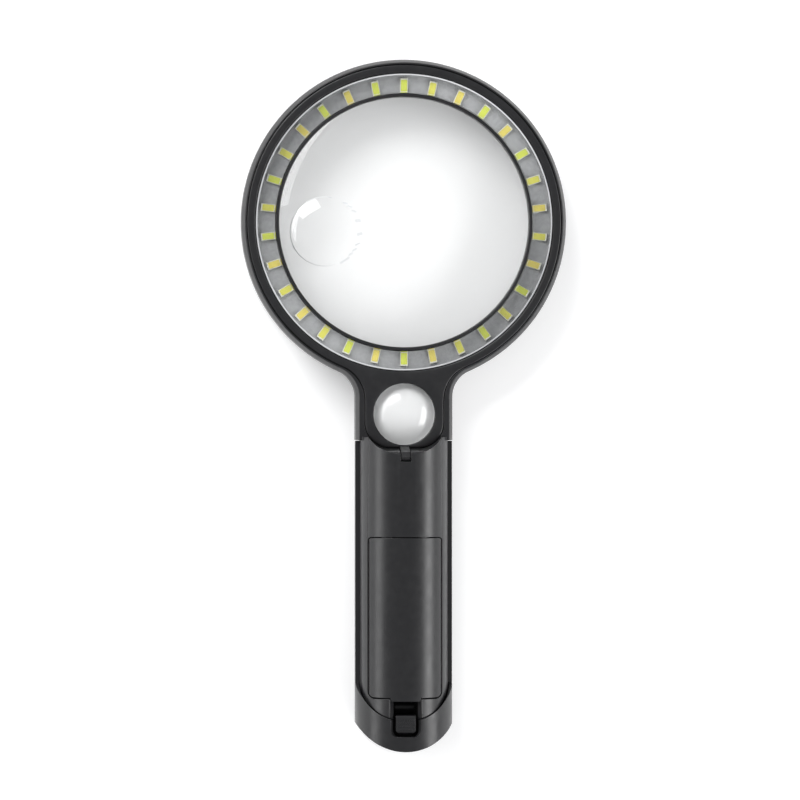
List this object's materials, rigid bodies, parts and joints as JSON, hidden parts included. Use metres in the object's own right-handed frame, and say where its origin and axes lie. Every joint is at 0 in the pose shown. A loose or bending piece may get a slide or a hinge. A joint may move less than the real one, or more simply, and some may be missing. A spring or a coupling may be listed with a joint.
{
  "type": "low vision magnifier",
  "caption": "Round handheld magnifier with a lens inset, a small neck lens, a ring of lamps behind a clear window, and a battery grip with a latched door and slide switch.",
  "frame": {"origin": "middle of the bounding box's base, on the plane of the front (eye side) faces", "axes": "+Y from the tail of the grip to the head, +Z from the front face towards the lamp side, +X to the right seen from the lamp side"},
  "size_m": [0.1264, 0.2684, 0.0273],
  "materials": {
    "black_shell": "satin moulded black",
    "lens_acrylic": "polished clear acrylic",
    "window_acrylic": "clear moulded window",
    "lamp_board": "light grey solder mask",
    "lamp": "yellow phosphor in a white package",
    "cell_wrap": "printed-free shrink sleeve",
    "nickel_strip": "nickel-plated spring steel",
    "circuit_board": "green solder mask",
    "switch_can": "tinned",
    "screw_steel": "plated",
    "wire_red": "satin insulation",
    "wire_black": "satin insulation"
  },
  "bodies": {
    "magnifier": {"main_housing": "black_shell", "front_bezel": "black_shell", "rear_cover": "black_shell", "handle_cover": "black_shell", "main_lens": "lens_acrylic", "neck_lens": "lens_acrylic", "neck_lens_retainer": "black_shell", "led_window": "window_acrylic", "led_board": "lamp_board", "led_01": "lamp", "led_02": "lamp", "led_03": "lamp", "led_04": "lamp", "led_05": "lamp", "led_06": "lamp", "led_07": "lamp", "led_08": "lamp", "led_09": "lamp", "led_10": "lamp", "led_11": "lamp", "led_12": "lamp", "led_13": "lamp", "led_14": "lamp", "led_15": "lamp", "led_16": "lamp", "led_17": "lamp", "led_18": "lamp", "led_19": "lamp", "led_20": "lamp", "led_21": "lamp", "led_22": "lamp", "led_23": "lamp", "led_24": "lamp", "led_25": "lamp", "led_26": "lamp", "led_27": "lamp", "led_28": "lamp", "led_29": "lamp", "led_30": "lamp", "battery_tray": "black_shell", "battery_cell_1": "cell_wrap", "battery_cell_2": "cell_wrap", "battery_cell_3": "cell_wrap", "contact_positive_terminal": "nickel_strip", "contact_negative_terminal": "nickel_strip", "contact_bridge_upper": "nickel_strip", "contact_bridge_lower": "nickel_strip", "control_board": "circuit_board", "switch_body": "switch_can", "wire_battery_positive": "wire_red", "wire_battery_negative": "wire_black", "led_lead_positive": "wire_red", "led_lead_negative": "wire_black", "handle_screw_1": "screw_steel", "handle_screw_2": "screw_steel", "bezel_screw_1": "screw_steel", "bezel_screw_2": "screw_steel"},
    "door": {"battery_door": "black_shell"},
    "latch": {"door_latch": "black_shell"},
    "slider": {"switch_slider": "black_shell"}
  },
  "joints": [
    {"name": "battery_door_tilt", "type": "hinge", "parent": "magnifier", "child": "door", "pos_m": [0, -0.0515, 0.027], "axis": [-1, 0, 0], "range_deg": [0, 75]},
    {"name": "door_latch_flex", "type": "hinge", "parent": "door", "child": "latch", "pos_m": [0, -0.1206, 0.01715], "axis": [-1, 0, 0], "range_deg": [0, 6], "stiffness_Nm_per_rad": 0.5},
    {"name": "switch_slide", "type": "slide", "parent": "magnifier", "child": "slider", "axis": [0, 1, 0], "range_m": [0, 0.006]}
  ]
}
